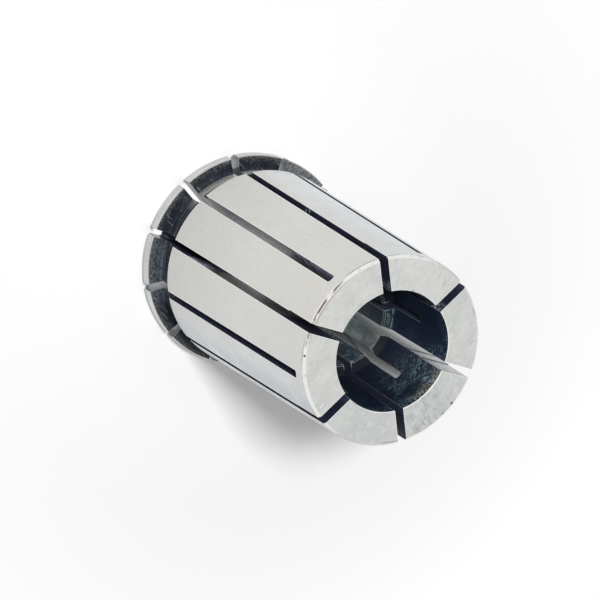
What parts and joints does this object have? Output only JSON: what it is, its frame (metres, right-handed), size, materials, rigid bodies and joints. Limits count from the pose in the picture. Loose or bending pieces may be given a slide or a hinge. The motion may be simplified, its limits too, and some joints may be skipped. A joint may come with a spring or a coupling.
{
  "type": "spring collet",
  "caption": "Double-slit spring collet with a slow ground taper, an extraction groove and a notched collar, for gripping a straight tool shank in a chuck.",
  "frame": {"origin": "centre of the collar's front face, on which it stands", "axes": "+Z along the axis towards the small end of the taper; +X through the middle of one slot that is open at the small end"},
  "size_m": [0.035, 0.035, 0.052],
  "materials": {
    "ground_steel": "hardened spring steel, ground outside, with dark scale left in the groove and the relief bore"
  },
  "bodies": {
    "root": {"spring_collet": "ground_steel"}
  },
  "joints": []
}
